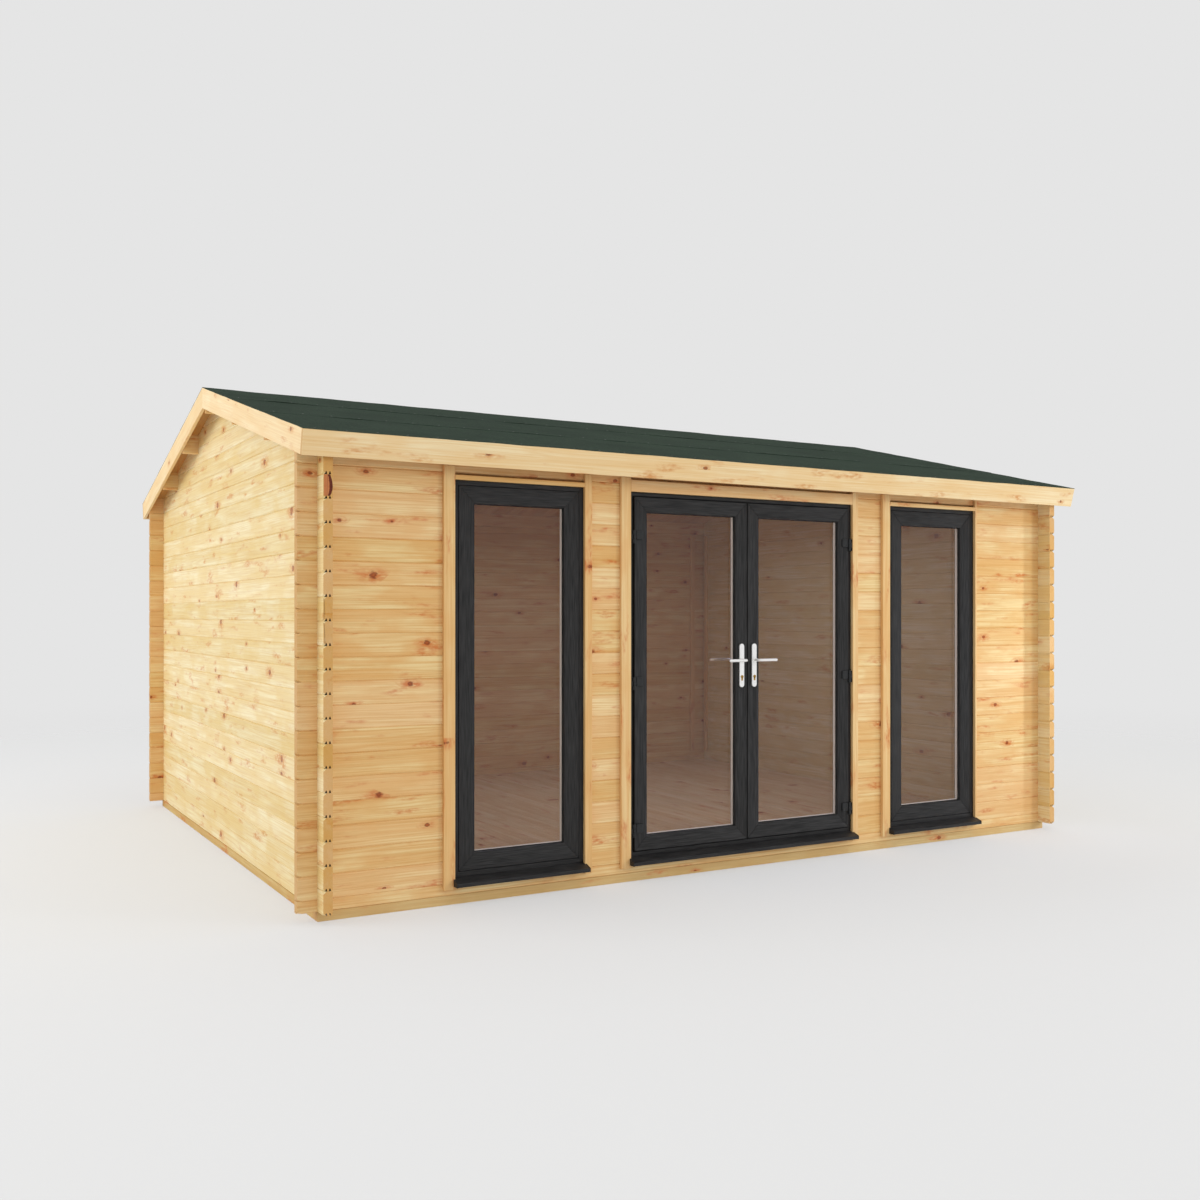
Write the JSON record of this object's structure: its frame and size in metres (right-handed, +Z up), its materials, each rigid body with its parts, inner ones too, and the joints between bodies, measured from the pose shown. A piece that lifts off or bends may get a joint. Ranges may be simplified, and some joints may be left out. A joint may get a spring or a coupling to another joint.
{
  "type": "log cabin",
  "caption": "Garden log cabin of interlocking pine logs with a shallow double-pitched felt roof, glazed double doors that open outwards and a tall glazed window on each side of them.",
  "frame": {"origin": "on the ground under the middle of the cabin's outline, roof included", "axes": "+X along the front to the right as seen by a visitor, +Y from the front to the back, +Z up; the doors face -Y"},
  "size_m": [5.138, 4.233, 2.7797],
  "materials": {
    "log_pine": "planed and unvarnished",
    "side_log_pine": "planed and unvarnished",
    "trim_pine": "planed",
    "edge_board_pine": "planed",
    "roof_board_pine": "sawn",
    "floor_pine": "planed boards",
    "bearer_pine": "planed",
    "mineral_felt": "green mineral chips",
    "foiled_upvc": "woodgrain foil",
    "clear_glass": "clear, double glazed",
    "hinge_metal": "powder coated",
    "polished_handle": "polished"
  },
  "bodies": {
    "cabin": {"front_bearer": "bearer_pine", "back_bearer": "bearer_pine", "left_bearer": "bearer_pine", "right_bearer": "bearer_pine", "floor_joists": "bearer_pine", "floor": "floor_pine", "front_bottom_log": "log_pine", "front_wall_left": "log_pine", "front_pier_left": "log_pine", "front_pier_right": "log_pine", "front_wall_right": "log_pine", "front_wall_head": "log_pine", "back_wall": "log_pine", "left_wall": "side_log_pine", "right_wall": "side_log_pine", "left_gable": "side_log_pine", "right_gable": "side_log_pine", "front_eave_log": "log_pine", "back_eave_log": "log_pine", "ridge_purlin": "log_pine", "front_purlins": "log_pine", "back_purlins": "log_pine", "front_roof_boards": "roof_board_pine", "back_roof_boards": "roof_board_pine", "front_felt": "mineral_felt", "back_felt": "mineral_felt", "front_fascia": "edge_board_pine", "back_fascia": "edge_board_pine", "left_barge_boards": "edge_board_pine", "right_barge_boards": "edge_board_pine", "left_window_trim": "trim_pine", "right_window_trim": "trim_pine", "door_trim": "trim_pine", "left_window_frame": "foiled_upvc", "left_window_sash": "foiled_upvc", "left_window_glass": "clear_glass", "left_window_sill": "foiled_upvc", "right_window_frame": "foiled_upvc", "right_window_sash": "foiled_upvc", "right_window_glass": "clear_glass", "right_window_sill": "foiled_upvc", "door_frame": "foiled_upvc", "door_sill": "foiled_upvc", "frame_hinges": "hinge_metal"},
    "left_leaf": {"left_leaf": "foiled_upvc", "left_leaf_glass": "clear_glass", "left_leaf_hinges": "hinge_metal", "left_handle_plates": "polished_handle"},
    "right_leaf": {"right_leaf": "foiled_upvc", "right_leaf_glass": "clear_glass", "right_leaf_hinges": "hinge_metal", "right_handle_plates": "polished_handle"},
    "left_lever": {"left_lever": "polished_handle"},
    "right_lever": {"right_lever": "polished_handle"}
  },
  "joints": [
    {"name": "left_leaf_hinge", "type": "hinge", "parent": "cabin", "child": "left_leaf", "pos_m": [-0.745, -1.9695, 1.054], "axis": [0, 0, -1], "range_deg": [0, 100]},
    {"name": "right_leaf_hinge", "type": "hinge", "parent": "cabin", "child": "right_leaf", "pos_m": [0.754, -1.9695, 1.054], "axis": [0, 0, 1], "range_deg": [0, 100]},
    {"name": "left_lever_turn", "type": "hinge", "parent": "left_leaf", "child": "left_lever", "pos_m": [-0.039, -1.9725, 1.166], "axis": [0, -1, 0], "range_deg": [-40, 35], "stiffness_Nm_per_rad": 1.2},
    {"name": "right_lever_turn", "type": "hinge", "parent": "right_leaf", "child": "right_lever", "pos_m": [0.048, -1.9725, 1.166], "axis": [0, 1, 0], "range_deg": [-40, 35], "stiffness_Nm_per_rad": 1.2}
  ]
}
